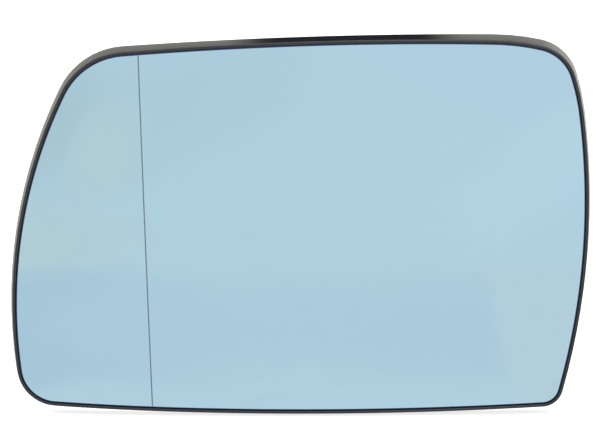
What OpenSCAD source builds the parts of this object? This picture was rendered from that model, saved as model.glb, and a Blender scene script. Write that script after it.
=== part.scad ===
// Heated aspheric glass for the left-hand door mirror of a car, on its moulded back plate.
// Millimetres. X points inboard, Z points up, the glass faces -Y and the motor is on the +Y side.
// The origin is the middle of the locating ring's mouth, where the motor's platform seats.
// Every depth behind the glass is measured from the curved face, so all layers follow its curve.

/* [Outline of the glass] */
// Direction in which the inboard side faces, in degrees from +X
inboard_dir = -2; // [-6:0.1:4]
// Distance from the ring's axis to the inboard side
inboard_reach = 95.9; // [90:0.1:104]
// Radius of the inboard side
inboard_r = 242; // [180:1:400]
// Direction in which the top side faces
top_dir = 92; // [88:0.1:95]
// Distance from the ring's axis to the top side
top_reach = 60.6; // [58:0.1:68]
// Radius of the top side
top_r = 1130; // [700:10:1600]
// Direction in which the slanted outboard side faces
outboard_dir = 157.5; // [152:0.1:164]
// Distance from the ring's axis to the outboard side
outboard_reach = 90.1; // [86:0.1:96]
// Radius of the outboard side
outboard_r = 167; // [140:1:220]
// Direction in which the bottom side faces
bottom_dir = 269.9; // [267:0.1:273]
// Distance from the ring's axis to the bottom side
bottom_reach = 63.6; // [60:0.1:70]
// Radius of the bottom side
bottom_r = 1770; // [900:5:2600]
// Length of the inboard side, up to the top corner, that gives way to a tighter arc
inboard_shoulder_l = 12.1; // [6:0.1:18]
// Radius of that arc
inboard_shoulder_r = 70; // [45:1:110]
// Length of the top side, up to the inboard corner, that gives way to a tighter arc
top_shoulder_l = 13.8; // [7:0.1:21]
// Radius of that arc
top_shoulder_r = 78; // [55:1:120]
// Corner radius between the inboard and top sides
top_inboard_r = 14; // [10:0.1:20]
// Corner radius between the top and outboard sides
top_outboard_r = 23.8; // [16:0.1:32]
// Corner radius between the outboard and bottom sides
low_outboard_r = 11.8; // [8:0.1:18]
// Corner radius between the bottom and inboard sides
low_inboard_r = 5.6; // [3:0.1:10]

/* [Glass] */
// Radius of the convex face
face_r = 1260; // [1000:10:1600]
// Horizontal radius of the wide-view zone
zone_r = 420; // [300:10:700]
// Place of the line where the wide-view zone starts
zone_x = -52.4; // [-62:0.1:-46]
// Lean of that line, in degrees, negative towards the outboard side
zone_lean = -2; // [-5:0.1:0]
// Width of that line
line_w = 0.4; // [0.3:0.05:0.8]
// Depth of that line in the face
line_t = 0.1; // [0.08:0.01:0.2]
// Thickness of the glass
glass_t = 2; // [1.6:0.1:3]
// Width and depth of the ground bevel round the glass
bevel = 0.35; // [0.2:0.05:0.6]

/* [Layers behind the glass] */
// Thickness of the heating film
film_t = 0.3; // [0.2:0.05:0.5]
// Distance from the bevel to the edge of the heating film
film_inset = 4; // [2:0.5:8]
// Thickness of the foam adhesive
pad_t = 0.5; // [0.4:0.1:1.2]
// Distance from the bevel to the edge of the adhesive
pad_inset = 3; // [1.5:0.5:8]

/* [Back plate] */
// Thickness of the plate's skin
skin_t = 2; // [1.6:0.1:3]
// Gap between the glass and the rim
edge_gap = 0.27; // [0.2:0.01:0.5]
// Width of the rim's lip
lip_w = 1; // [0.8:0.05:1.6]
// Height of the lip above the face of the glass
lip_proud = 0.3; // [0.1:0.05:0.6]
// Depth of the rim at the ring's axis, from the lip to its back edge
rim_depth = 6.3; // [6:0.1:10]
// What the rim gains in depth at a chosen distance from the ring's axis
rim_growth = 4; // [0:0.1:5]
// That distance
rim_growth_at = 100; // [80:5:120]
// Draft of the rim's outer wall, in degrees
rim_draft = 5.2; // [2:0.1:8]
// Thickness of a rib
rib_t = 1.3; // [1:0.1:2]
// Height of a rib above the skin
rib_h = 2.4; // [1.5:0.1:3.2]
// Number of spokes round the ring, an odd number for each quarter so that the hooks stand between them
spoke_count = 12; // [4:8:20]
// Distance from the motor platform to the round rib
round_rib_gap = 13; // [11:0.5:16]
// Distance from the edge of the glass to the rib that follows it
edge_rib_inset = 10; // [8:0.5:14]

/* [Ring and hooks] */
// Inner radius of the locating ring
ring_r = 30; // [24:0.5:32]
// Wall of the locating ring
ring_wall = 2; // [1.6:0.1:3]
// Height of the ring above the plate's skin
ring_h = 9; // [7:0.5:14]
// Width of the two key notches in the ring
key_w = 8; // [5:0.5:12]
// Depth of the key notches
key_depth = 4; // [2:0.5:5]
// How far the motor platform that the hooks grip reaches beyond the ring's bore
platform_ledge = 6; // [5.5:0.1:8]
// Thickness of the motor platform's edge
platform_t = 3; // [2:0.1:5]
// Clearance between the platform and the hooks
hook_clear = 0.4; // [0.2:0.05:0.8]
// Thickness of a hook's arm
hook_t = 1.8; // [1.4:0.1:2.6]
// Width of a hook
hook_w = 9; // [6:0.5:11]
// How far a hook's catch reaches over the platform
catch_w = 1.3; // [0.8:0.1:1.8]
// Radius of the round window in the skin inside the ring
hub_hole_r = 7; // [4:0.5:12]
// Radius of the vent holes between the spokes
vent_r = 2; // [1.5:0.1:3]

/* [Terminals] */
// Distance from the inboard side to the terminals
term_inset = 35.9; // [30:0.1:40]
// Distance from the middle height to each terminal
term_z = 10; // [8:0.5:12]
// Width of a terminal's blade
blade_w = 6.3; // [4.8:0.1:6.5]
// Thickness of a blade
blade_t = 0.8; // [0.5:0.1:1]
// Distance from the film to the tip of a blade
blade_h = 12.5; // [10:0.5:16]
// Length of the foot that is soldered to the film
foot_l = 6; // [4:0.5:7]
// Thickness of that foot
foot_t = 0.4; // [0.3:0.05:0.6]
// Clearance between a terminal and its collar
term_clear = 1; // [0.6:0.1:1.5]
// Height of the collar above the skin
collar_h = 5; // [3:0.5:8]

/* [Hidden] */
$fn = 96;

// Fragments of the large curved faces, and spacing of the points along the outline
face_fn = 720;
side_step = 7;
corner_step = 6.5;
min_corner_r = 0.6;
// How far cutting shapes pass through what they cut
over = 1;
// How far fused shapes reach into each other
bite = 0.5;
// Half of the depth that takes in the whole unit, and the margin round its outline
deep = 20;
margin = 12;

// Depths behind the face
film_depth = glass_t;
pad_depth = film_depth + film_t;
skin_depth = pad_depth + pad_t;
back_depth = skin_depth + skin_t;
face_y0 = -(ring_h + back_depth);

// Offsets outward from the visible edge of the glass, which is the inner edge of its bevel
lip_in = bevel + edge_gap;
lip_out = lip_in + lip_w;
lip_round = lip_w * 0.4;
skin_edge = lip_in + lip_w / 2;
wall_step = 0.25;

// Radius of the motor platform, of the hooks' inner faces and of the round rib
platform_r = ring_r + platform_ledge;
hook_r = platform_r + hook_clear;
round_rib_r = platform_r + round_rib_gap;
catch_y = platform_t + hook_clear / 2;
catch_h = 2 * catch_w;
term_x = inboard_reach - term_inset;

function unit(a) = [cos(a), sin(a)];
function heading(v) = atan2(v.y, v.x);
function ahead(from, to) = from + (((to - from) % 360) + 360) % 360;

// Where two circles cross, on the side that lies farther along u
function crossing(c1, r1, c2, r2, u) =
    let (gap = c2 - c1, dist = norm(gap), along = (r1 * r1 - r2 * r2 + dist * dist) / (2 * dist),
        rise = sqrt(max(r1 * r1 - along * along, 0)), foot = c1 + gap * along / dist,
        across = [-gap.y, gap.x] / dist, a = foot + across * rise, b = foot - across * rise)
    a * u > b * u ? a : b;

// A side is [direction, centre, radius]; growing the outline by d leaves its centre where it is
function side(dir, reach, r) = [dir, unit(dir) * (reach - r), r];

inboard_side = side(inboard_dir, inboard_reach, inboard_r);
top_side = side(top_dir, top_reach, top_r);

// Centre of the corner that these two sides would share if neither had a shoulder. A shoulder is the
// tighter arc into which a side runs some way before the place where it would meet that corner
plain_corner = crossing(inboard_side[1], inboard_r - top_inboard_r, top_side[1], top_r - top_inboard_r,
    unit((inboard_dir + top_dir) / 2));
function shoulder(s, before, r) =
    let (dir = heading(plain_corner - s[1]) - before * 180 / PI / s[2])
    [dir, s[1] + unit(dir) * (s[2] - r), r];

// All sides, counter-clockwise seen from the front
sides = [
    inboard_side,
    shoulder(inboard_side, inboard_shoulder_l, inboard_shoulder_r),
    shoulder(top_side, -top_shoulder_l, top_shoulder_r),
    top_side,
    side(outboard_dir, outboard_reach, outboard_r),
    side(bottom_dir, bottom_reach, bottom_r)
];
side_count = len(sides);

// Radius of the corner after each side, 0 where a side runs straight into its shoulder
corner_rs = [0, top_inboard_r, 0, top_outboard_r, low_outboard_r, low_inboard_r];
function corner_radius(i, d) = max(corner_rs[i] + d, min_corner_r);
function next(i) = (i + 1) % side_count;

function corner_centre(i, d) =
    let (j = next(i), r = corner_radius(i, d), middle = (sides[i][0] + ahead(sides[i][0], sides[j][0])) / 2)
    crossing(sides[i][1], sides[i][2] + d - r, sides[j][1], sides[j][2] + d - r, unit(middle));

// Direction, seen from the centre of side k, of the place where it meets what follows side i
function meeting(i, k, d) =
    let (j = next(i), gap = sides[i][1] - sides[j][1])
    corner_rs[i] > 0 ? heading(corner_centre(i, d) - sides[k][1])
        : heading(sides[i][2] < sides[j][2] ? gap : -gap);

// Points of an arc with the heading of each, without the last one
function arc_stations(c, r, from, to, count) =
    [for (k = [0:count - 1]) let (a = from + (to - from) * k / count) [each (c + r * unit(a)), a]];

function side_stations(i, d) =
    let (h = (i + side_count - 1) % side_count, r = sides[i][2] + d,
        from = meeting(h, i, d), to = ahead(from, meeting(i, i, d)), turn = to - from)
    arc_stations(sides[i][1], r, from, to, ceil(max(r * turn * PI / 180 / side_step, turn / corner_step)));

function corner_stations(i, d) =
    let (c = corner_centre(i, d), from = heading(c - sides[i][1]),
        to = ahead(from, heading(c - sides[next(i)][1])))
    arc_stations(c, corner_radius(i, d), from, to, ceil((to - from) / corner_step));

// The outline grown by d, as [x, z, heading] at each station, counter-clockwise seen from the front
function stations(d) = [for (i = [0:side_count - 1])
    each concat(side_stations(i, d), corner_rs[i] > 0 ? corner_stations(i, d) : [])];
function outline(d) = [for (s = stations(d)) [s.x, s.y]];

edge = stations(0);
reach_x = max([for (s = edge) abs(s.x)]) + margin;
reach_z = max([for (s = edge) abs(s.y)]) + margin;

// The frame of the zone line: its origin lies on the face, -Y points out of the glass there
zone_turn = asin(zone_x / face_r);
zone_at = [zone_x, face_y0 + face_r - face_r * cos(zone_turn), 0];

module in_zone_frame() {
    translate(zone_at) rotate([0, 0, zone_turn]) rotate([0, zone_lean, 0]) children();
}

function to_zone(p) =
    let (v = p - zone_at,
        w = [v.x * cos(zone_turn) + v.y * sin(zone_turn), v.y * cos(zone_turn) - v.x * sin(zone_turn), v.z])
    [w.x * cos(zone_lean) - w.z * sin(zone_lean), w.y, w.x * sin(zone_lean) + w.z * cos(zone_lean)];

// How far a point lies in front of the face, in the zone or beside it
function in_front(p) =
    let (q = to_zone(p), r = q.x < 0 ? zone_r : face_r)
    norm([norm([q.x, q.y - r]) - (r - face_r), q.z]) - face_r;

function settle(x, z, y, steps) = steps == 0 ? y : settle(x, z, y + in_front([x, y, z]), steps - 1);
function face_y(x, z) = settle(x, z, face_y0 + face_r - sqrt(face_r * face_r - x * x - z * z), 5);

// Section of a layer between two depths, for turning about the upright axis
module layer_section(from, to) {
    intersection() {
        difference() {
            circle(r = face_r - from, $fn = face_fn);
            circle(r = face_r - to, $fn = face_fn);
        }
        translate([face_r - 2 * deep, -reach_z]) square([3 * deep, 2 * reach_z]);
    }
}

// A layer of the whole unit between two depths behind the face: the main zone has one radius both
// ways, the wide-view zone turns about a nearer upright axis, and they meet with the same slope.
// The spans are whole degrees, so that both zones end on exactly the same plane
module layer(from, to) {
    lean_x = reach_z * sin(abs(zone_lean));
    main_span = ceil((reach_x - zone_x + lean_x) / (face_r - to) * 180 / PI);
    zone_span = ceil((reach_x + zone_x + lean_x) / (zone_r - to) * 180 / PI);
    in_zone_frame() {
        translate([0, face_r, 0]) rotate_extrude(start = -90, angle = main_span, $fn = face_fn)
            layer_section(from, to);
        translate([0, zone_r, 0]) rotate_extrude(start = -90 - zone_span, angle = zone_span, $fn = face_fn)
            translate([zone_r - face_r, 0]) layer_section(from, to);
    }
}

// A flat shape of X and Z, pulled along Y
module prism(from, to) {
    translate([0, to, 0]) rotate([90, 0, 0]) linear_extrude(to - from) children();
}

// The same through the whole depth of the unit
module column() {
    prism(face_y0 - deep, deep) children();
}

// What the rim gains in depth at a station of the outline
function rim_gain(s) = rim_growth * (s.x * s.x + s.y * s.y) / (rim_growth_at * rim_growth_at);

// A solid swept round the outline. Each ring is [offset, depth, widening, deepening]: the depth is taken
// from the face at the edge of the glass, and the last two are multiplied by the rim's gain in depth
function ring_points(ring) = [for (s = edge)
    let (out = ring[0] + ring[2] * rim_gain(s), back = ring[1] + ring[3] * rim_gain(s))
    [s.x + out * cos(s.z), face_y(s.x, s.y) + back, s.y + out * sin(s.z)]];

function band(a, b, n) = [for (k = [0:n - 1]) each let (m = (k + 1) % n)
    [[a * n + k, b * n + m, b * n + k], [a * n + k, a * n + m, b * n + m]]];

// Bevelled blank that trims the glass to its outline, open to the front and the back of the sheet
module glass_blank() {
    n = len(edge);
    rings = [[-over, -over, 0, 0], [bevel, bevel, 0, 0], [bevel, glass_t + over, 0, 0]];
    front = [0, face_y0 - deep / 2, 0];
    back = [0, face_y0 + deep / 2, 0];
    points = concat([for (r = rings) each ring_points(r)], [front, back]);
    faces = concat(band(0, 1, n), band(1, 2, n),
        [for (k = [0:n - 1]) [3 * n, (k + 1) % n, k]],
        [for (k = [0:n - 1]) [3 * n + 1, 2 * n + k, 2 * n + (k + 1) % n]]);
    polyhedron(points, faces, convexity = 4);
}

// Strip along the start of the wide-view zone, between two depths
module line_strip(from, to) {
    intersection() {
        layer(from, to);
        in_zone_frame() cube([line_w, deep, 4 * reach_z], center = true);
    }
}

module mirror_glass() {
    color([0.68, 0.80, 0.88]) difference() {
        intersection() {
            layer(0, glass_t);
            glass_blank();
        }
        line_strip(-over, line_t);
    }
}

module zone_line() {
    color([0.49, 0.59, 0.62]) intersection() {
        line_strip(0, line_t);
        glass_blank();
    }
}

module heater_film() {
    color([0.75, 0.55, 0.25]) intersection() {
        layer(film_depth, pad_depth);
        column() polygon(outline(bevel - film_inset));
    }
}

// Clear space round a terminal, as a flat shape
module terminal_window() {
    square([foot_l + 2 * term_clear, blade_w + 2 * term_clear], center = true);
}

module adhesive_pad() {
    color([0.25, 0.25, 0.27]) difference() {
        intersection() {
            layer(pad_depth, skin_depth);
            column() polygon(outline(bevel - pad_inset));
        }
        for (side = [-1, 1]) translate([term_x, 0, side * term_z]) column() terminal_window();
    }
}

// Section of the rim, from the foot of its inner wall over the lip and down the outer wall
function arc_ring(offset, depth, growth, r, from, to, count) = [for (k = [0:count])
    let (a = from + (to - from) * k / count) [offset + r * cos(a), depth - r * sin(a), each growth]];

rim_back = rim_depth - lip_proud;
rim_flare = tan(rim_draft);
rim_section = concat(
    [[lip_in, skin_depth + skin_t / 2, 0, 0]],
    arc_ring(lip_in + lip_round / 2, lip_round / 2 - lip_proud, [0, 0], lip_round / 2, 180, 90, 2),
    arc_ring(lip_out - lip_round, lip_round - lip_proud, [0, 0], lip_round, 90, 0, 3),
    arc_ring(lip_out + rim_depth * rim_flare - lip_round, rim_back - lip_round, [rim_flare, 1], lip_round,
        0, -90, 2),
    arc_ring(lip_in + wall_step + lip_round / 2, rim_back - lip_round / 2, [0, 1], lip_round / 2,
        270, 180, 1),
    [[lip_in + wall_step, skin_depth + skin_t / 2, 0, 0]]
);

module rim() {
    n = len(edge);
    m = len(rim_section);
    points = [for (r = rim_section) each ring_points(r)];
    faces = [for (j = [0:m - 1]) each band(j, (j + 1) % m, n)];
    polyhedron(points, faces, convexity = 8);
}

// Height of the skin's back above a circle round the ring's axis
function skin_back_y(r) =
    let (back_r = face_r - back_depth)
    face_y0 + face_r - sqrt(back_r * back_r - r * r);

module skin() {
    intersection() {
        layer(skin_depth, back_depth);
        column() polygon(outline(skin_edge));
    }
}

module rib_plan() {
    for (k = [0:spoke_count - 1]) rotate(k * 360 / spoke_count)
        translate([ring_r + ring_wall / 2, -rib_t / 2]) square([reach_x + reach_z, rib_t]);
    difference() {
        circle(r = round_rib_r + rib_t / 2);
        circle(r = round_rib_r - rib_t / 2);
    }
    difference() {
        polygon(outline(-edge_rib_inset));
        polygon(outline(-edge_rib_inset - rib_t));
    }
}

module ribs() {
    intersection() {
        layer(back_depth - bite, back_depth + rib_h);
        column() intersection() {
            rib_plan();
            polygon(outline(skin_edge));
        }
    }
}

module locating_ring() {
    root_y = skin_back_y(ring_r) - bite;
    difference() {
        prism(root_y, 0) difference() {
            circle(r = ring_r + ring_wall);
            circle(r = ring_r);
        }
        prism(-key_depth, over) square([key_w, 3 * ring_r], center = true);
    }
}

// Webs that carry the ring's wall on the spokes
module ring_webs() {
    web_l = platform_ledge;
    low_y = skin_back_y(ring_r) - bite;
    for (k = [0:spoke_count - 1]) rotate([0, k * 360 / spoke_count, 0]) translate([0, 0, -rib_t / 2])
        linear_extrude(rib_t) polygon([
            [ring_r + ring_wall / 2, low_y], [ring_r + ring_wall + web_l, low_y],
            [ring_r + ring_wall + web_l, low_y + rib_h], [ring_r + ring_wall, -key_depth / 2],
            [ring_r + ring_wall / 2, -key_depth / 2]
        ]);
}

module hook() {
    root_y = skin_back_y(hook_r) - bite;
    foot_w = hook_t;
    translate([0, 0, -hook_w / 2]) linear_extrude(hook_w) polygon([
        [hook_r, root_y], [hook_r + hook_t + foot_w, root_y],
        [hook_r + hook_t + foot_w, root_y + bite + foot_w / 3], [hook_r + hook_t, root_y + bite + foot_w * 2],
        [hook_r + hook_t, catch_y + catch_h], [hook_r + hook_t * 0.45, catch_y + catch_h],
        [hook_r - catch_w, catch_y + catch_h * 0.25], [hook_r - catch_w, catch_y],
        [hook_r, catch_y]
    ]);
}

module at_hooks() {
    for (a = [45, 135, 225, 315]) rotate([0, a, 0]) children();
}

// Opening in the skin under a hook's catch, through which the mould forms it
module hook_window() {
    in_r = ring_r + ring_wall + over;
    low_y = face_y0 + skin_depth - over;
    translate([in_r, low_y, -hook_w / 2]) cube([hook_r - in_r, skin_t + 3 * over, hook_w]);
}

module collars() {
    wall = rib_t;
    low_y = face_y(term_x, 0) + back_depth - bite;
    for (side = [-1, 1]) translate([term_x, 0, side * term_z]) prism(low_y, low_y + bite + collar_h)
        square([foot_l + 2 * (term_clear + wall), blade_w + 2 * (term_clear + wall)], center = true);
}

module vents() {
    vent_at = (round_rib_r + platform_r + hook_t * 2 + catch_w) / 2;
    for (k = [0:spoke_count - 1]) rotate([0, (k + 0.5) * 360 / spoke_count, 0])
        translate([vent_at, 0, 0]) column() circle(r = vent_r, $fn = 32);
}

module back_plate() {
    color([0.10, 0.10, 0.11]) difference() {
        union() {
            skin();
            rim();
            ribs();
            locating_ring();
            ring_webs();
            at_hooks() hook();
            collars();
        }
        for (side = [-1, 1]) translate([term_x, 0, side * term_z]) column() terminal_window();
        at_hooks() hook_window();
        column() circle(r = hub_hole_r);
        vents();
    }
}

// Blade with a chamfered tip and a latch hole, standing on a foot that lies on the film
module heater_terminal(side) {
    at_z = side * term_z;
    film_y = face_y(term_x, at_z) + pad_depth;
    tip = blade_w * 0.2;
    color([0.80, 0.76, 0.66]) {
        intersection() {
            layer(pad_depth, pad_depth + foot_t);
            translate([term_x, 0, at_z]) column() square([foot_l, blade_w], center = true);
        }
        difference() {
            translate([term_x - blade_t / 2, film_y + foot_t / 2, at_z]) rotate([0, 90, 0])
                linear_extrude(blade_t) polygon([
                    [-blade_w / 2, 0], [blade_w / 2, 0], [blade_w / 2, blade_h - tip],
                    [blade_w / 2 - tip, blade_h], [tip - blade_w / 2, blade_h], [-blade_w / 2, blade_h - tip]
                ]);
            translate([term_x, film_y + blade_h * 0.75, at_z]) rotate([0, 90, 0])
                cylinder(r = blade_w * 0.13, h = 3 * blade_t, center = true, $fn = 32);
        }
    }
}

module heater_terminal_upper() {
    heater_terminal(1);
}

module heater_terminal_lower() {
    heater_terminal(-1);
}

mirror_glass();
zone_line();
heater_film();
adhesive_pad();
back_plate();
heater_terminal_upper();
heater_terminal_lower();
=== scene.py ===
# %% [markdown]
# # A heated glass for a car's door mirror
# The real unit is a blue-tinted convex glass, bonded to a black moulded plate that clips to the mirror's
# motor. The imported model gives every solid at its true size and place, in metres, with Z up and the
# glass facing -Y. This lesson dresses those solids: it finishes what is right already and remakes
# what needs a finer surface, and it never moves anything.

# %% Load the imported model
import math

import bmesh
import bpy
import numpy as np
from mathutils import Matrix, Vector


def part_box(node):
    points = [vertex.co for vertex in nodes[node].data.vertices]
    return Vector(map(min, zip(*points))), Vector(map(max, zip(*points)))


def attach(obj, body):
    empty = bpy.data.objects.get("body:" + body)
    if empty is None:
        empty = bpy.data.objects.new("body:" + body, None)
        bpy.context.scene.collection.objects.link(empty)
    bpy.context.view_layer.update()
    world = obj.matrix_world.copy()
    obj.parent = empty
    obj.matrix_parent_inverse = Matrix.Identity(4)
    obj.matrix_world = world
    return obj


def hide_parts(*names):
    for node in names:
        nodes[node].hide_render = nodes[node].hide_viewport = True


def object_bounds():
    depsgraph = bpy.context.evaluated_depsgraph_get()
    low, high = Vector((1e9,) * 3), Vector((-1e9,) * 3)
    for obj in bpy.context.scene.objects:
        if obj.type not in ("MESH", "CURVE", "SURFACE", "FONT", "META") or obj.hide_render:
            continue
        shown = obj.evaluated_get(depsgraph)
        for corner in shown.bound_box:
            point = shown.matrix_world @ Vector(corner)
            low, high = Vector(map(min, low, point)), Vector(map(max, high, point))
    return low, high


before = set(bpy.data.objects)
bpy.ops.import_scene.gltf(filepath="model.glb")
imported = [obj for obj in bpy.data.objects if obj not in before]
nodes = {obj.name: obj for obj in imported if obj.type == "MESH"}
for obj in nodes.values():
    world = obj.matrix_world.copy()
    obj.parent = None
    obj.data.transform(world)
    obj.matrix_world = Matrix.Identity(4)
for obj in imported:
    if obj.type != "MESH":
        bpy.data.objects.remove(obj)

CAD_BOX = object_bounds()
for name, node in sorted(nodes.items()):
    print("node", name, len(node.data.polygons), "faces", len(node.data.vertices), "points")

# %% [markdown]
# ## Sizes of the glass
# A mirror's reflection shows every flaw of its mesh, and a few large triangles flicker where a lamp
# is mirrored. So the sheet is built again from its own rule rather than from the solid's facets. The rule
# is short: four long arcs, two shoulders and four corner arcs, on a face with two radii. All lengths
# below are millimetres on the drawing, and MM turns them into metres.

# %% The glass in numbers
MM = 0.001
# A side is its direction in degrees, its distance from the ring's axis and its radius
INBOARD = (-2.0, 95.9, 242.0)
TOP = (92.0, 60.6, 1130.0)
OUTBOARD = (157.5, 90.1, 167.0)
BOTTOM = (269.9, 63.6, 1770.0)
# A shoulder is the direction at which a side tightens, and the radius it then takes
INBOARD_SHOULDER = (7.6, 70.0)
TOP_SHOULDER = (88.6, 78.0)
# Radius of the corner after each side and shoulder, 0 where they run into each other
CORNERS = [0.0, 14.0, 0.0, 23.8, 11.8, 5.6]
print("four sides, two shoulders and corners of", [radius for radius in CORNERS if radius], "mm")

# %% [markdown]
# ## The outline
# Each side is an arc whose centre lies far behind the ring. Towards the inboard top corner the two sides
# there tighten first, in a shoulder. A long list of measured points could draw the same shape, but it
# couldn't be grown by a bevel's width, and it would say nothing about how the shape was drawn.


# %% Sides and shoulders
def unit(degrees):
    return np.array([math.cos(math.radians(degrees)), math.sin(math.radians(degrees))])


def heading(v):
    return math.atan2(v[1], v[0])


def side(direction, reach, radius):
    return direction, unit(direction) * (reach - radius), radius


def shoulder(parent, direction, radius):
    return direction, parent[1] + unit(direction) * (parent[2] - radius), radius


inboard, top = side(*INBOARD), side(*TOP)
SIDES = [
    inboard,
    shoulder(inboard, *INBOARD_SHOULDER),
    shoulder(top, *TOP_SHOULDER),
    top,
    side(*OUTBOARD),
    side(*BOTTOM),
]
print("the outline has", len(SIDES), "sides and shoulders")

# %% [markdown]
# ## Corners
# A corner is a small arc that touches the sides on both sides of it. Its centre is where both sides would
# cross if their radii were smaller by the corner's own, and of the two such places it is the one that
# lies farther out. A side runs straight into its shoulder, since both centres lie on one line.


# %% Corners
def meet(i):
    """Where side i ends, the centre of the corner after it, and where the next side starts."""
    (turn_a, a, radius_a), (turn_b, b, radius_b) = SIDES[i], SIDES[(i + 1) % len(SIDES)]
    gap = b - a
    if CORNERS[i] == 0:
        end = heading(-gap if radius_a < radius_b else gap)
        return end, None, end
    ra, rb = radius_a - CORNERS[i], radius_b - CORNERS[i]
    dist = np.linalg.norm(gap)
    along = (ra * ra - rb * rb + dist * dist) / (2 * dist)
    rise = math.sqrt(ra * ra - along * along)
    across = np.array([-gap[1], gap[0]]) / dist
    foot = a + gap * along / dist
    middle = unit(turn_a + (turn_b - turn_a) % 360 / 2)
    centre = max(foot + across * rise, foot - across * rise, key=lambda c: c @ middle)
    return heading(centre - a), centre, heading(centre - b)


joins = [meet(i) for i in range(len(SIDES))]
ARCS = []
for i, (_, centre, radius) in enumerate(SIDES):
    ARCS.append((centre, radius, joins[i - 1][2], joins[i][0]))
    if CORNERS[i]:
        ARCS.append((joins[i][1], CORNERS[i], joins[i][0], joins[i][2]))
print("the outline has", len(ARCS), "arcs")

# %% [markdown]
# ## Points along the outline
# Growing the outline by d only adds d to every radius, so one function serves the visible edge and the
# bevel. Long arcs need points at an even spacing and corners need them at an even turn, so each arc
# takes whichever asks for more. The count doesn't depend on d, which lets rings be joined point to point.

# %% Points along the outline
SPACING = 2.2
TURN_STEP = math.radians(3)


def outline(d=0.0):
    """The outline grown by d, as rows of x and z."""
    rows = []
    for centre, radius, start, end in ARCS:
        sweep = (end - start) % (2 * math.pi)
        count = math.ceil(max(radius * sweep / SPACING, sweep / TURN_STEP))
        angles = start + sweep * np.arange(count) / count
        rows.append(centre + (radius + d) * np.c_[np.cos(angles), np.sin(angles)])
    return np.vstack(rows)


edge = outline()
print("outline of %d points, %.1f x %.1f mm" % (len(edge), np.ptp(edge[:, 0]), np.ptp(edge[:, 1])))

# %% [markdown]
# ## The face
# Most of the face is part of one big sphere. Outboard of the thin line the glass curves harder from side
# to side, which is what lets a driver see the next lane. That strip is turned about an upright axis that
# stands nearer, and both surfaces share their slope at the line, so the reflection bends without a
# break. The strip is easiest to describe from the line itself. So it gets axes of its own, which stand
# on the line: one across it, one straight into the glass and one along it.

# %% Two radii, and axes on the line between them
FACE_R = 1260.0
ZONE_R = 420.0
ZONE_X = -52.4
ZONE_LEAN = math.radians(-2.0)
APEX_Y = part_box("mirror_glass")[0].y / MM
ZONE_TURN = math.asin(ZONE_X / FACE_R)
ZONE_AT = np.array([ZONE_X, APEX_Y + FACE_R - FACE_R * math.cos(ZONE_TURN), 0.0])
turn = np.array([[math.cos(ZONE_TURN), -math.sin(ZONE_TURN), 0],
                 [math.sin(ZONE_TURN), math.cos(ZONE_TURN), 0],
                 [0, 0, 1]])
lean = np.array([[math.cos(ZONE_LEAN), 0, math.sin(ZONE_LEAN)],
                 [0, 1, 0],
                 [-math.sin(ZONE_LEAN), 0, math.cos(ZONE_LEAN)]])
ZONE_AXES = turn @ lean
print("the glass stands %.2f mm in front of the ring's mouth" % -APEX_Y)
print("the line stands %.1f mm outboard of the middle" % -ZONE_X)

# %% [markdown]
# ## Height of the face
# For the sphere alone the height at a chosen place is a short formula, but for the strip it isn't. How
# far a point lies from the strip is easy to tell, though. So every point starts on the sphere and is
# moved by that distance, a few times over. The rest shrinks so fast that six rounds are plenty.

# %% Height of the face at any point
ROUNDS = 6


def face_y(xz):
    """Y of the face at rows of x and z, in millimetres."""
    y = APEX_Y + FACE_R - np.sqrt(FACE_R ** 2 - (xz ** 2).sum(axis=1))
    for _ in range(ROUNDS):
        q = (np.c_[xz[:, 0], y, xz[:, 1]] - ZONE_AT) @ ZONE_AXES
        r = np.where(q[:, 0] < 0, ZONE_R, FACE_R)
        across = np.hypot(q[:, 0], q[:, 1] - r) - (r - FACE_R)
        y = y + np.hypot(across, q[:, 2]) - FACE_R
    return y


def on_face(xz, depth=0.0):
    """Rows of x, y and z in metres, that deep behind the face."""
    return np.c_[xz[:, 0], face_y(xz) + depth, xz[:, 1]] * MM


print("outboard edge lies %.2f mm behind the middle" % (face_y(np.array([[-96.0, 0.0]]))[0] - APEX_Y))

# %% [markdown]
# ## Meshes from rings
# Both the sheet and the line are skins stretched over rings of points. A loft like this keeps the faces
# even and the normals smooth, where a boolean would leave slivers.


# %% Build one closed skin over rings of points
SHARP = math.radians(28)


def loft(name, rings, ids):
    """A closed skin over rings of equally many points. ids holds the material slot of each band."""
    n = len(rings[0])
    bm = bmesh.new()

    def add_face(slot, *corners):
        face = bm.faces.new(corners)
        face.material_index = slot
        face.smooth = True

    rows = [[bm.verts.new(p) for p in ring] for ring in rings]
    for a, b, slot in zip(rows, rows[1:], ids):
        for k in range(n):
            add_face(slot, a[k], a[(k + 1) % n], b[(k + 1) % n], b[k])
    for row, slot in ((rows[0], ids[0]), (rows[-1], ids[-1])):
        middle = bm.verts.new(sum((v.co for v in row), Vector()) / n)
        for k in range(n):
            add_face(slot, middle, row[k], row[(k + 1) % n])
    bmesh.ops.recalc_face_normals(bm, faces=bm.faces)
    mesh = bpy.data.meshes.new(name)
    bm.to_mesh(mesh)
    bm.free()
    mesh.set_sharp_from_angle(angle=SHARP)
    obj = bpy.data.objects.new(name, mesh)
    bpy.context.scene.collection.objects.link(obj)
    print("piece", name, len(mesh.polygons), "faces")
    return obj


# %% [markdown]
# ## The sheet of glass
# The sheet has a polished face, a ground bevel all round and a back that stays hidden. The rings run from
# the middle of the face out to the bevel, round the edge and back to the middle behind. Each ring on the
# face is the outline times a share, which keeps the mesh regular, and the last hole is closed by a fan.

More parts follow.
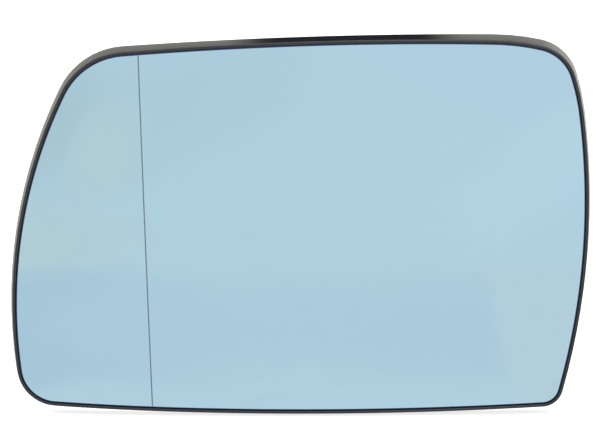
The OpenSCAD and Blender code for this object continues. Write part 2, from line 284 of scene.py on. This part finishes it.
# %% Make the sheet of glass
GLASS_T = 2.0
BEVEL = 0.35
FACE_SHARES = np.linspace(0.02, 1.0, 36)
BACK_SHARES = np.linspace(0.9, 0.04, 8)
grown = outline(BEVEL)
rings = [on_face(edge * share) for share in FACE_SHARES]
rings += [on_face(grown, BEVEL), on_face(grown, GLASS_T)]
rings += [on_face(grown * share, GLASS_T) for share in BACK_SHARES]
coated = len(FACE_SHARES) - 1
ids = [0] * coated + [1] * (len(rings) - 1 - coated)
glass = loft("mirror_sheet", rings, ids)
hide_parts("mirror_glass")
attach(glass, "root")

# %% [markdown]
# ## The line of the wide-view zone
# On the real glass this is a thin line fired into the face. A strip of its own, a hundredth of a
# millimetre proud, gives a crisp edge at any size of picture, where a stripe in the material of the
# glass would blur. It follows the face in the leaning plane that the zone's axes stand on, so it is a
# little longer than it is high.

# %% Make the thin line
LINE_W = 0.4
LINE_PROUD = 0.012
LINE_DEPTH = 0.08
LINE_RINGS = 61
line_low, line_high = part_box("zone_line")
heights = np.linspace(line_low.z / MM, line_high.z / MM, LINE_RINGS) / math.cos(ZONE_LEAN)


def line_row(across, depth):
    """One long edge of the line, that far from its middle and that deep behind the face."""
    arc = FACE_R - np.sqrt(FACE_R ** 2 - heights ** 2)
    local = np.c_[np.full_like(heights, across), arc + depth, heights]
    return (local @ ZONE_AXES.T + ZONE_AT) * MM


half = LINE_W / 2
corners = [(-half, -LINE_PROUD), (half, -LINE_PROUD), (half, LINE_DEPTH), (-half, LINE_DEPTH)]
rows = [line_row(a, d) for a, d in corners]
sections = [np.array([row[k] for row in rows]) for k in range(len(heights))]
line = loft("zone_strip", sections, [0] * (len(heights) - 1))
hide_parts("zone_line")
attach(line, "root")

# %% [markdown]
# ## Shader maths as Python
# A material is a graph of nodes, and a graph built call by call is hard to read. This small class
# wraps one output socket, so that `1 - mask * 0.3` adds the Math nodes by itself. Anything else comes
# from node(), which takes the node's type, its settings and the values or links of its sockets.


# %% One class for the graph
class Wire:
    """One output of a node, or just its tree, as a place to add more nodes."""

    def __init__(self, tree, socket=None):
        self.tree = tree
        self.socket = socket

    def node(self, kind, settings=None, sockets=None, out=0):
        """Adds a node, sets it up, fills its inputs and returns one of its outputs."""
        new = self.tree.nodes.new(kind if "Node" in kind else "ShaderNode" + kind)
        for key, value in (settings or {}).items():
            setattr(new, key, value)
        for key, value in (sockets or {}).items():
            if isinstance(value, Wire):
                self.tree.links.new(value.socket, new.inputs[key])
            else:
                new.inputs[key].default_value = value
        return None if out is None else Wire(self.tree, new.outputs[out])

    def maths(self, operation, a, b=0.0):
        """A Math node, or a Vector Math node where either side is a vector or a colour."""
        if any(isinstance(v, Wire) and v.socket.type in ("VECTOR", "RGBA") for v in (a, b)):
            a, b = [v if isinstance(v, Wire) else (v, v, v) for v in (a, b)]
            return self.node("VectorMath", {"operation": operation}, {0: a, 1: b})
        return self.node("Math", {"operation": operation}, {0: a, 1: b})

    def __add__(self, other):
        return self.maths("ADD", self, other)

    __radd__ = __add__

    def __mul__(self, other):
        return self.maths("MULTIPLY", self, other)

    __rmul__ = __mul__

    def __sub__(self, other):
        return self.maths("SUBTRACT", self, other)

    def __rsub__(self, other):
        return self.maths("SUBTRACT", other, self)

    def between(self, low, high):
        """0 at low, 1 at high, with a soft start and end."""
        settings = {"interpolation_type": "SMOOTHSTEP", "clamp": True}
        return self.node("MapRange", settings, {"Value": self, "From Min": low, "From Max": high})

    def axis(self, letter):
        """X, Y or Z of a vector."""
        return self.node("SeparateXYZ", None, {"Vector": self}, letter)


# %% [markdown]
# ## Colours
# A colour picked from a picture is coded for a screen, and a shader works in amounts of light. Typing
# the screen's numbers straight into a socket would make every finish too pale, so they are decoded first.


# %% Colours as a shader needs them
def srgb(r, g, b):
    """A colour as a picture shows it, 0 to 255, as a shader needs it."""
    def linear(c):
        c = c / 255
        return c / 12.92 if c <= 0.04045 else ((c + 0.055) / 1.055) ** 2.4
    return (linear(r), linear(g), linear(b), 1.0)


print("a grey of 128 gives back %.2f of the light" % srgb(128, 128, 128)[0])

# %% [markdown]
# ## Starting a material
# Every finish starts with the same two things: the coordinates of the point on the object, in
# metres, and a Principled shader. Fixed values go straight onto the shader's sockets, and only what
# varies over the surface is linked.


# %% Start a material
def begin(name, **fixed):
    """A new material with its Principled shader. Returns the material, its shader and the coordinates."""
    material = bpy.data.materials.new(name)
    material.use_nodes = True
    tree = material.node_tree
    shader = next(n for n in tree.nodes if n.type == "BSDF_PRINCIPLED")
    for key, value in fixed.items():
        shader.inputs[key.replace("_", " ")].default_value = value
    place = Wire(tree).node("TexCoord", out="Object")
    print("finish", name, "with", sorted(fixed))
    return material, shader, place


def link(shader, **wires):
    """Links wires to the sockets of the shader that they are named after."""
    for key, wire in wires.items():
        wire.tree.links.new(wire.socket, shader.inputs[key.replace("_", " ")])


# %% [markdown]
# ## Words for what most finishes need
# Cloudy noise gives a surface its unevenness, and a stretched one gives it a direction. Two colours are
# mixed by such noise, or a bump turns it into relief. Each of these gets a short name.


# %% Noise, stretch, mix and bump
def noise(place, size, detail=2.0, roughness=0.5, out="Fac"):
    """Cloudy noise whose blotches are about that many metres across."""
    sockets = {"Vector": place, "Scale": 1 / size, "Detail": detail, "Roughness": roughness}
    return place.node("TexNoise", {"noise_dimensions": "3D"}, sockets, out)


def mix(factor, a, b):
    """Colour a where factor is 0 and colour b where it is 1."""
    start = factor if isinstance(factor, Wire) else a
    return start.node("Mix", {"data_type": "RGBA"}, {0: factor, 6: a, 7: b}, 2)


def stretch(place, scale):
    """Coordinates on which a noise grows longer along each axis whose scale is below 1."""
    return place.node("Mapping", {"vector_type": "POINT"}, {"Vector": place, "Scale": scale})


def bump(height, strength, distance, **more):
    """Relief for the Normal socket, up to that distance in metres. It can be laid on another normal."""
    sockets = {"Height": height, "Strength": strength, "Distance": distance, **more}
    return height.node("Bump", None, sockets)


# %% [markdown]
# ## Painted reflections in the glass
# In daylight such glass is never quite even: it mirrors clouds, walls and ground that are a little
# greener, warmer or darker than the sky. Real things around the glass could do this, but they would show
# in every other piece too. A few wide, soft spots of colour stand for them, so that the white studio of
# this scene can stay plain. Each is an ellipse that fades out towards its edge. They are listed one by
# one.

# %% Soft spots of painted reflection
# Painted reflections: what the glass mirrors, as it looks on the glass
MIRRORED_LEAVES = (166, 197, 207)
MIRRORED_WALL = (177, 205, 214)
MIRRORED_SHADE = (159, 194, 212)
MIRRORED_GROUND = (171, 203, 220)
MIRRORED_LOW_SKY = (171, 203, 219)
MIRRORED_HIGH_SKY = (175, 207, 225)
MIRRORED_HAZE = (180, 211, 226)
# Middle x and z, half width and half height in mm, tilt in degrees, and the reflection painted there
REFLECTION_SPOTS = [
    (-60, 35, 85, 30, 25, MIRRORED_LOW_SKY),
    (-100, 30, 50, 25, 25, MIRRORED_LEAVES),
    (-65, 25, 15, 25, -20, MIRRORED_WALL),
    (-100, -5, 60, 17, 0, MIRRORED_WALL),
    (-85, -35, 70, 25, 0, MIRRORED_SHADE),
    (-40, -35, 85, 25, 0, MIRRORED_GROUND),
    (45, -35, 80, 25, 0, MIRRORED_GROUND),
    (65, 50, 85, 20, -25, MIRRORED_HIGH_SKY),
    (85, 20, 50, 20, 35, MIRRORED_HAZE),
]


def spot(x, z, x0, z0, half_w, half_h, tilt):
    """1 in the middle of a tilted ellipse and 0 outside it, with a soft slope between."""
    cos, sin = unit(tilt).tolist()
    x, z = x - x0 * MM, z - z0 * MM
    across = (x * cos + z * sin) * (1 / (half_w * MM))
    upward = (z * cos - x * sin) * (1 / (half_h * MM))
    return 1 - (across * across + upward * upward).between(0.0, 1.0)


print(len(REFLECTION_SPOTS), "spots of colour")

# %% [markdown]
# ## Blue mirror coating with painted reflections
# A mirror is a metal film behind glass, so the finish is metallic and almost without roughness. The
# tint is the colour of the metal. Mirrored clouds have no clean outline, so noise pushes the spots of
# painted reflection about by a few millimetres before they are laid over the blue, one after the other.

# %% Mirror coating and painted reflections
WANDER = 0.016
BLUE_BLEND = (-0.03, 0.06)
BLUE_OUTBOARD = srgb(175, 207, 222)
BLUE_INBOARD = srgb(176, 208, 223)
coating_and_reflections, shader, place = begin("tinted_mirror", Metallic=1.0)
straight_x, straight_z = place.axis("X"), place.axis("Z")
drift = noise(place, size=0.03, detail=3.0, out="Color")
place = place + (drift - 0.5) * WANDER
x, z = place.axis("X"), place.axis("Z")
tint_and_reflections = mix(x.between(*BLUE_BLEND), BLUE_OUTBOARD, BLUE_INBOARD)
# Painted reflections, laid over the blue one spot after another
for *ellipse, colour in REFLECTION_SPOTS:
    tint_and_reflections = mix(spot(x, z, *ellipse), tint_and_reflections, srgb(*colour))
print("tint with", len(coating_and_reflections.node_tree.nodes), "nodes")

# %% [markdown]
# ## Mirrored warm corner, streaks and smears
# The corner at the lower right is a painted reflection, a little warmer than the blue. It keeps a
# straight, leaning edge, as a mirrored wall would, so it is cut from the coordinates that no noise has
# pushed about. Fine level streaks in the lower half and a very faint unevenness of the gloss keep the
# sheet from looking painted.

# %% Mirrored corner, streaks and gloss
CORNER_LEAN = 0.22
CORNER_EDGE = (0.056, 0.0625)
CORNER_TOP = (-0.018, -0.009)
WARM_REFLECTION = srgb(178, 206, 219)
STREAK = srgb(160, 192, 210)
STREAK_FADE = (-0.03, 0.02)
STREAK_STRENGTH = 0.2
# Painted reflection in the lower right corner, with a straight leaning edge
beyond = (straight_x + straight_z * CORNER_LEAN).between(*CORNER_EDGE)
warm_corner_reflection = beyond * (1 - straight_z.between(*CORNER_TOP))
tint_and_reflections = mix(warm_corner_reflection, tint_and_reflections, WARM_REFLECTION)
level_noise = noise(stretch(place, (0.3, 1.0, 1.0)), size=0.004, detail=3.0, roughness=0.6)
streaks = level_noise.between(0.5, 0.8) * (1 - z.between(*STREAK_FADE))
tint_and_reflections = mix(streaks * STREAK_STRENGTH, tint_and_reflections, STREAK)
smears = noise(place, size=0.012, detail=3.0)
link(shader, Base_Color=tint_and_reflections, Roughness=smears * 0.02 + 0.005)
glass.data.materials.append(coating_and_reflections)
print("coating with", len(coating_and_reflections.node_tree.nodes), "nodes")

# %% [markdown]
# ## Ground edge of the glass
# The bevel isn't coated, so it shows the glass itself, which is nearly black from the side. Light that
# enters the face leaves again at the ground edge, so even the narrow gap beside it glows a little
# blue. A faint emission paints that glow, where tracing the light through the glass would cost minutes.
# Grinding leaves fine lines, seen here as a little unevenness.

# %% Ground edge
ground, shader, place = begin("ground_edge", IOR=1.5, Emission_Strength=1.0)
grit = noise(place, size=0.0008)
link(shader,
     Base_Color=mix(grit, srgb(46, 56, 90), srgb(62, 74, 110)),
     Emission_Color=mix(grit, srgb(30, 38, 60), srgb(36, 46, 70)),
     Roughness=grit * 0.2 + 0.3)
glass.data.materials.append(ground)

# %% [markdown]
# ## Fired line
# A thin ceramic print, grey-green and matt against the mirror. One flat colour would do from afar. Fired
# enamel is never quite even, though, so a speckle runs between two greys that lie close together.

# %% Fired line
print_finish, shader, place = begin("line_print", IOR=1.45)
speckle = noise(place, size=0.0006, detail=1.0)
link(shader,
     Base_Color=mix(speckle, srgb(103, 122, 127), srgb(117, 136, 141)),
     Roughness=speckle * 0.15 + 0.45)
line.data.materials.append(print_finish)

# %% [markdown]
# ## Black moulding
# The plate is a black plastic straight from its mould. The mould is polished where the part slides out
# of it, so the walls are glossy, and textured where the part faces backwards. Two materials could be
# given out face by face, but one can tell by the normal, whose Y is near 1 on those backs. The edges of a
# real moulding are never razor sharp, so the normal is softened over a quarter of a millimetre before
# the grain is laid on.

# %% Black moulding
SOFT_EDGE = 0.00025
moulding, shader, place = begin("black_moulding", IOR=1.5)
patches = noise(place, size=0.03, detail=3.0)
grain = noise(place, size=0.0004)
textured = place.node("TexCoord", out="Normal").axis("Y").between(0.3, 0.8)
soft = place.node("Bevel", {"samples": 6}, {"Radius": SOFT_EDGE})
link(shader,
     Base_Color=mix(patches, srgb(31, 33, 38), srgb(40, 42, 47)),
     Roughness=textured * 0.2 + patches * 0.08 + 0.14,
     Normal=bump(grain * textured, strength=0.3, distance=0.00004, Normal=soft))

# %% [markdown]
# ## Heating film
# A film of amber plastic with a silver conductor printed on it in narrow loops. Only the patch under
# each terminal can be seen, through the windows of the plate. So the loops aren't drawn one by one: the
# bands of a wave, a little bent, look the same there.

# %% Heating film
foil, shader, place = begin("heater_foil", IOR=1.5)
bands = place.node("TexWave", {"wave_type": "BANDS", "bands_direction": "Z"},
                   {"Vector": place, "Scale": 90.0, "Distortion": 0.6}, "Fac")
track = bands.between(0.45, 0.6)
link(shader,
     Base_Color=mix(track, srgb(178, 122, 52), srgb(170, 170, 165)),
     Metallic=track * 0.8,
     Roughness=0.45 - track * 0.15)

# %% [markdown]
# ## Foam tape
# Closed-cell foam, dark grey, with the fine pitting of its cut surface. Pits as real dents would take
# millions of faces, and a bump shows the same at this size.

# %% Foam tape
tape, shader, place = begin("foam_tape", IOR=1.4, Roughness=0.9)
cells = noise(place, size=0.0005)
link(shader,
     Base_Color=mix(cells, srgb(52, 52, 55), srgb(76, 76, 80)),
     Normal=bump(cells, strength=0.5, distance=0.0001))

# %% [markdown]
# ## Tinned blades
# Stamped brass with a dull tin plating. Stamping leaves faint lines along the blade. The shader could
# stretch every highlight evenly, but lines are uneven, so a noise drawn out along Y drives the roughness.

# %% Tinned blades
tin, shader, place = begin("tinned_brass", Metallic=1.0)
lines = noise(stretch(place, (1.0, 0.08, 1.0)), size=0.0003)
link(shader,
     Base_Color=mix(lines, srgb(196, 192, 180), srgb(222, 218, 206)),
     Roughness=lines * 0.2 + 0.22)

# %% [markdown]
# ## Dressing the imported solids
# The plate, film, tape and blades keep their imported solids, which already have every rib and window.
# Remaking them would risk losing a hook or a vent and gain nothing, so they only get a finish.

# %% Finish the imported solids
FINISH = {
    "back_plate": moulding,
    "heater_film": foil,
    "adhesive_pad": tape,
    "heater_terminal_upper": tin,
    "heater_terminal_lower": tin,
}
for name, material in FINISH.items():
    obj = nodes[name]
    obj.data.materials.clear()
    obj.data.materials.append(material)
    print("finish", material.name, "on", name)

# %% [markdown]
# ## Soft curves on the plate
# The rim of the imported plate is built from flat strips, a few degrees apart, and a glossy wall shows
# each of them. A finer mesh would have to repeat the whole sweep of the rim. Instead, a modifier joins
# the strips' corners, drops their flat normals and keeps an edge hard only where the surface turns by
# more than CREASE. The shape stays as packed, only its shading changes.

# %% Shade the plate by angle
CREASE = math.radians(12)
WELD = 0.002 * MM
tree = bpy.data.node_groups.new("shade_by_angle", "GeometryNodeTree")
for way in ("INPUT", "OUTPUT"):
    tree.interface.new_socket(name="Geometry", in_out=way, socket_type="NodeSocketGeometry")
start = Wire(tree)
shape = start.node("NodeGroupInput")
shape = start.node("GeometryNodeMergeByDistance", None, {"Geometry": shape, "Distance": WELD})
shape = start.node("GeometryNodeRemoveAttribute", None, {"Geometry": shape, "Name": "custom_normal"})
shape = start.node("GeometryNodeSetShadeSmooth", {"domain": "FACE"},
                   {"Geometry": shape, "Shade Smooth": True})
angle = start.node("GeometryNodeInputMeshEdgeAngle", out="Unsigned Angle")
hard = start.node("FunctionNodeCompare", {"operation": "GREATER_THAN"}, {0: angle, 1: CREASE})
shape = start.node("GeometryNodeSetShadeSmooth", {"domain": "EDGE"},
                   {"Geometry": shape, "Selection": hard, "Shade Smooth": False})
start.node("NodeGroupOutput", None, {"Geometry": shape}, None)
plate = nodes["back_plate"]
plate.modifiers.new("shade_by_angle", "NODES").node_group = tree
print("the plate is shaded with", len(tree.nodes), "nodes")

# %% [markdown]
# ## Floor and surroundings
# The photograph is a catalogue cut-out on pure white. A pale floor stands under the plate. For the
# camera it is lifted until it clips to white, so only the soft contact shadow stays. For mirrored
# rays the floor and the sky are plain panels: white in front, where the mirror looks, and a warm grey
# behind, brighter to the right, which is what the polished rim shows in the photograph.

# %% Floor
FLOOR_DROP = 0.0002
FLOOR_HALF = 9.0
floor_z = CAD_BOX[0].z - FLOOR_DROP


def card_of(name, corners):
    """A flat sheet with these corners, which isn't part of the object."""
    mesh = bpy.data.meshes.new(name)
    mesh.from_pydata(corners, [], [(0, 1, 2, 3)])
    obj = bpy.data.objects.new(name, mesh)
    bpy.context.scene.collection.objects.link(obj)
    return obj


ground_corners = [(-1, -1), (1, -1), (1, 1), (-1, 1)]
floor = card_of("floor", [(x * FLOOR_HALF, y * FLOOR_HALF, floor_z) for x, y in ground_corners])
print("floor %.1f mm below the part" % (FLOOR_DROP / MM))

# %% [markdown]
# ## Light by the kind of ray
# Cycles knows for each ray whether it comes straight from the camera or from a mirrored surface. A Mix
# Shader that is driven by it shows each of them something else. The other helpers name what is used for
# that: a tree that starts out empty, a surface that glows, a sky of one colour, and a blend of two.


# %% Helpers for the surroundings
def blank(owner):
    """Empties the node tree of a material or world and returns a wire to start from."""
    owner.use_nodes = True
    owner.node_tree.nodes.clear()
    return Wire(owner.node_tree)


def glow(start, colour, strength=1.0):
    return start.node("Emission", None, {"Color": colour, "Strength": strength})


def sky(start, colour, strength=1.0):
    return start.node("Background", None, {"Color": colour, "Strength": strength})


def blend(factor, first, second):
    """The first surface or sky where factor is 0 and the second where it is 1."""
    return factor.node("MixShader", None, {0: factor, 1: first, 2: second})


def by_ray(start, kind, others, these):
    """One surface for rays of this kind and another for all others."""
    return blend(start.node("LightPath", out="Is %s Ray" % kind), others, these)


# %% [markdown]
# ## White paper
# The floor is plain white paper for light and shadow. What the camera adds is just enough glow to clip
# the lit paper to white, and mirrored rays see the panels alone, without a shadow on them.

# %% White paper
WHITE = (1.0, 1.0, 1.0, 1.0)
BEHIND_LEFT = (0.70, 0.69, 0.61, 1.0)
BEHIND_RIGHT = (1.0, 0.99, 0.90, 1.0)
PAPER = (0.86, 0.86, 0.86, 1.0)
LIFT = 0.76
# Where one panel turns into the next, in metres from left to right and from front to back
SIDE_BLEND = (0.05, 0.15)
DEPTH_BLEND = (0.0, 0.25)
paper = bpy.data.materials.new("white_paper")
start = blank(paper)
place = start.node("TexCoord", out="Object")
across, depth = place.axis("X"), place.axis("Y")
lit = start.node("BsdfDiffuse", None, {"Color": PAPER})
lifted = start.node("AddShader", None, {0: lit, 1: glow(start, WHITE, LIFT)})
behind = blend(across.between(*SIDE_BLEND), glow(start, BEHIND_LEFT), glow(start, BEHIND_RIGHT))
mirrored = blend(depth.between(*DEPTH_BLEND), glow(start, WHITE), behind)
surface = by_ray(start, "Glossy", by_ray(start, "Camera", lit, lifted), mirrored)
start.node("OutputMaterial", None, {"Surface": surface}, None)
floor.data.materials.append(paper)
print("paper with", len(paper.node_tree.nodes), "nodes")

# %% [markdown]
# ## Sky
# The world is split by the kind of ray, like the floor. The camera sees pure white, mirrored rays see
# the two panels, and everything else is lit by an even, dimmer sky, which keeps the shadows soft.

# %% Sky
SKY_LIGHT = 0.55
# The same two blends on the sky, as parts of a direction of length 1
SKY_SIDE_BLEND = (0.12, 0.3)
SKY_DEPTH_BLEND = (0.0, 0.4)
world = bpy.data.worlds.new("daylight")
bpy.context.scene.world = world
start = blank(world)
towards = start.node("TexCoord", out="Generated")
sideways, backwards = towards.axis("X"), towards.axis("Y")
behind = blend(sideways.between(*SKY_SIDE_BLEND), sky(start, BEHIND_LEFT), sky(start, BEHIND_RIGHT))
panels = blend(backwards.between(*SKY_DEPTH_BLEND), sky(start, WHITE), behind)
light = by_ray(start, "Glossy", sky(start, WHITE, SKY_LIGHT), panels)
surface = by_ray(start, "Camera", light, sky(start, WHITE))
start.node("OutputWorld", None, {"Surface": surface}, None)
print("sky with", len(world.node_tree.nodes), "nodes")

# %% [markdown]
# ## A dark card over the rim
# Seen from a little above, the top of the rim mirrors what stands behind the mirror at about twenty
# degrees up. In the photograph something dark stood there, since the middle of the rim is nearly black
# and its ends are grey. A black card that fades out at both ends does the same. It only shows in
# mirrored rays, so it takes no light away and casts no shadow.

# %% Dark card
CARD_X = (-0.032, 0.064)
CARD_Y = 0.1
CARD_Z = (0.07, 0.16)
(left, right), (low, high) = CARD_X, CARD_Z
card_corners = [(left, low), (right, low), (right, high), (left, high)]
card = card_of("dark_card", [(x, CARD_Y, z) for x, z in card_corners])
card.visible_camera = False
card.visible_diffuse = False
card.visible_transmission = False
card.visible_shadow = False
print("card %.0f mm wide and %.0f mm high" % ((right - left) / MM, (high - low) / MM))

# %% [markdown]
# ## Black velvet
# The card is matt black in its middle and turns transparent towards both ends, so that its mirror image
# has no hard edge.

# %% Black velvet
CARD_FADE = 0.02
BLACK = (0.01, 0.01, 0.01, 1.0)
velvet = bpy.data.materials.new("black_velvet")
start = blank(velvet)
across = start.node("TexCoord", out="Object").axis("X")
solid = across.between(left, left + CARD_FADE) * (1 - across.between(right - CARD_FADE, right))
black = start.node("BsdfDiffuse", None, {"Color": BLACK})
surface = blend(solid, start.node("BsdfTransparent"), black)
start.node("OutputMaterial", None, {"Surface": surface}, None)
card.data.materials.append(velvet)
print("velvet with", len(velvet.node_tree.nodes), "nodes")

# %% [markdown]
# ## Lamps
# Soft panels give form to what isn't a mirror: one overhead, a weaker one in front, and one behind
# that rakes over the ribs. That one is hidden from mirrored rays, or it would show on the polished rim.
# They are set so that a colour renders about as it is written.


# %% Lamps
def panel(name, place, size, watts):
    """A square soft lamp that faces the part."""
    lamp = bpy.data.lights.new(name, "AREA")
    lamp.shape = "SQUARE"
    lamp.size = size
    lamp.energy = watts
    obj = bpy.data.objects.new(name, lamp)
    obj.location = place
    obj.rotation_euler = (-Vector(place)).to_track_quat("-Z", "Y").to_euler()
    bpy.context.scene.collection.objects.link(obj)
    print("lamp", name, watts, "W")
    return obj


panel("overhead", (-0.3, 0.1, 1.6), size=1.2, watts=9.0)
panel("front", (0.6, -1.6, 0.9), size=1.0, watts=6.0)
rear = panel("rear", (-0.9, 0.8, 0.6), size=0.5, watts=7.0)
rear.visible_glossy = False

# %% [markdown]
# ## Camera
# The photograph was taken from far away, a little above the glass: the top of the rim shows and the
# bottom doesn't, and the sides hardly converge. A touch more of the rim shows outboard than inboard. A
# long lens ten degrees up and a little to the outboard side matches that.

# %% Camera
IMAGE_W = 600
RIM_PX = 577.5
RIM_MM = 195.0
DISTANCE = 1600.0
ELEVATION = math.radians(10)
AZIMUTH = math.radians(-0.3)
AIM = Vector((-0.00003, -0.010, 0.00003))
camera = bpy.data.cameras.new("camera")
camera.sensor_width = 36.0
camera.lens = DISTANCE * RIM_PX / RIM_MM / IMAGE_W * camera.sensor_width
camera.clip_start = 0.1
camera.clip_end = 50.0
camera_obj = bpy.data.objects.new("camera", camera)
level = math.cos(ELEVATION)
away = Vector((math.sin(AZIMUTH) * level, -math.cos(AZIMUTH) * level, math.sin(ELEVATION)))
camera_obj.location = AIM + away * DISTANCE * MM
camera_obj.rotation_euler = (math.pi / 2 - ELEVATION, 0, AZIMUTH)
bpy.context.scene.collection.objects.link(camera_obj)
bpy.context.scene.camera = camera_obj
bpy.context.scene.view_settings.view_transform = "Standard"
print("lens %.1f mm" % camera.lens)

# %% [markdown]
# ## Last look at the sizes
# The box of the imported solids is printed, in millimetres.

# %% Print the sizes and finish
print("cad", [round(c / MM, 2) for v in CAD_BOX for c in v])
